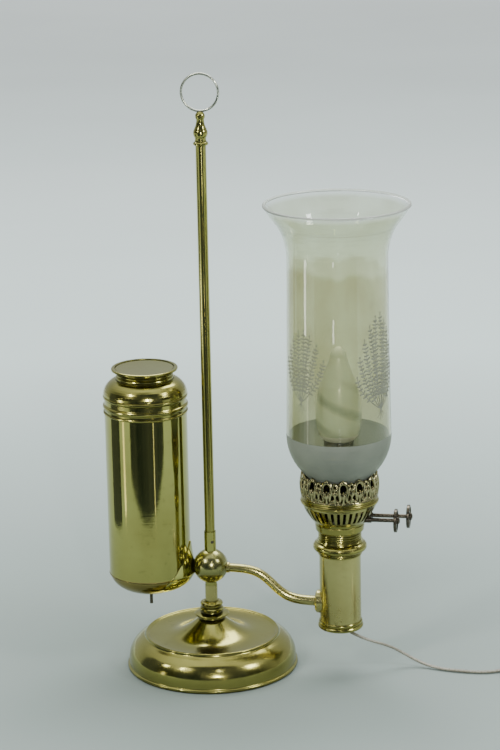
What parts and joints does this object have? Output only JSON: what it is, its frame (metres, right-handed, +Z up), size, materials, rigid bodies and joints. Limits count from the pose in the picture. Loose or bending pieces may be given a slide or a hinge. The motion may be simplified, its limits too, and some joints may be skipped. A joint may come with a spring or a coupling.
{
  "type": "brass student reading lamp",
  "caption": "Brass student's reading oil lamp converted to electricity: weighted round foot, rod with carrying ring, sliding font and burner arm, flared glass storm shade.",
  "frame": {"origin": "middle of the foot's underside, on the table and on the rod's axis", "axes": "+Z up along the rod, +X from the rod towards the burner column, +Y to the back, away from the viewer"},
  "size_m": [0.4431, 0.1682, 0.5672],
  "materials": {
    "brass": "polished",
    "dark_brass": "oxidised",
    "iron": "as cast",
    "baize": "felted",
    "flex": "translucent, smooth",
    "white_plastic": "moulded",
    "steel": "plated",
    "phenolic": "moulded",
    "opal": "opal, smooth",
    "lit_tube": "white coated",
    "shade_glass": "clear above, acid frosted below, with etched sprays"
  },
  "bodies": {
    "stand": {"base_shell": "brass", "base_weight": "iron", "base_pad": "baize", "base_spacer": "iron", "base_washer": "iron", "base_nut": "iron", "base_collar": "brass", "rod": "brass", "finial": "brass", "carrying_ring": "brass"},
    "swivel": {"stop_tube": "brass", "cord_coil": "flex", "cord_tail": "flex", "plug_body": "white_plastic", "plug_pins": "steel"},
    "frame": {"sleeve": "brass", "set_screw": "dark_brass", "ball": "brass", "font_bracket": "brass", "font_casing": "brass", "casing_rim": "brass", "casing_bottom": "brass", "valve_cage": "dark_brass", "arm_ferrule": "brass", "burner_arm": "brass", "arm_rosette": "brass", "burner_column": "brass", "column_foot": "brass", "cord_grommet": "phenolic", "cord_lead": "flex", "column_collar": "brass", "burner_socket": "brass", "burner_band": "brass", "burner_plate": "dark_brass", "nipple_nuts": "dark_brass", "nipple": "dark_brass", "inner_flex": "flex", "winder_bushes": "dark_brass", "air_basket": "brass", "gallery": "brass", "coronet": "brass", "lampholder": "dark_brass", "lampholder_ring": "dark_brass", "lampholder_core": "phenolic", "bulb_cap": "steel", "bulb_collar": "white_plastic", "bulb_tube": "lit_tube", "bulb_globe": "opal"},
    "valve": {"valve_pin": "dark_brass", "valve_spring": "steel"},
    "near_winder": {"near_spindle": "dark_brass", "near_wheel": "dark_brass"},
    "far_winder": {"far_spindle": "dark_brass", "far_wheel": "dark_brass"},
    "shade": {"glass_shade": "shade_glass"},
    "font": {"font_can": "brass", "font_mouth": "dark_brass", "font_shoulder": "brass", "font_neck": "brass"},
    "lid": {"font_lid": "brass"}
  },
  "joints": [
    {"name": "lamp_swivel", "type": "hinge", "parent": "stand", "child": "swivel", "pos_m": [0, 0, 0.07], "axis": [0, 0, 1], "continuous": true},
    {"name": "height_slide", "type": "slide", "parent": "swivel", "child": "frame", "axis": [0, 0, 1], "range_m": [0, 0.36]},
    {"name": "valve_lift", "type": "slide", "parent": "frame", "child": "valve", "axis": [0, 0, 1], "range_m": [0, 0.004], "stiffness_N_per_m": 400, "springref_m": -0.01, "deforming": ["valve_spring"]},
    {"name": "near_winder_turn", "type": "hinge", "parent": "frame", "child": "near_winder", "pos_m": [0.1234, -0.0067, 0.1508], "axis": [1, 0, 0], "continuous": true},
    {"name": "far_winder_turn", "type": "hinge", "parent": "frame", "child": "far_winder", "pos_m": [0.1234, 0.0067, 0.1508], "axis": [1, 0, 0], "continuous": true},
    {"name": "shade_lift", "type": "slide", "parent": "frame", "child": "shade", "axis": [0, 0, 1], "range_m": [0, 0.16]},
    {"name": "font_lift", "type": "slide", "parent": "frame", "child": "font", "axis": [0, 0, 1], "range_m": [0, 0.18]},
    {"name": "lid_lift", "type": "slide", "parent": "font", "child": "lid", "axis": [0, 0, 1], "range_m": [0, 0.03]}
  ]
}
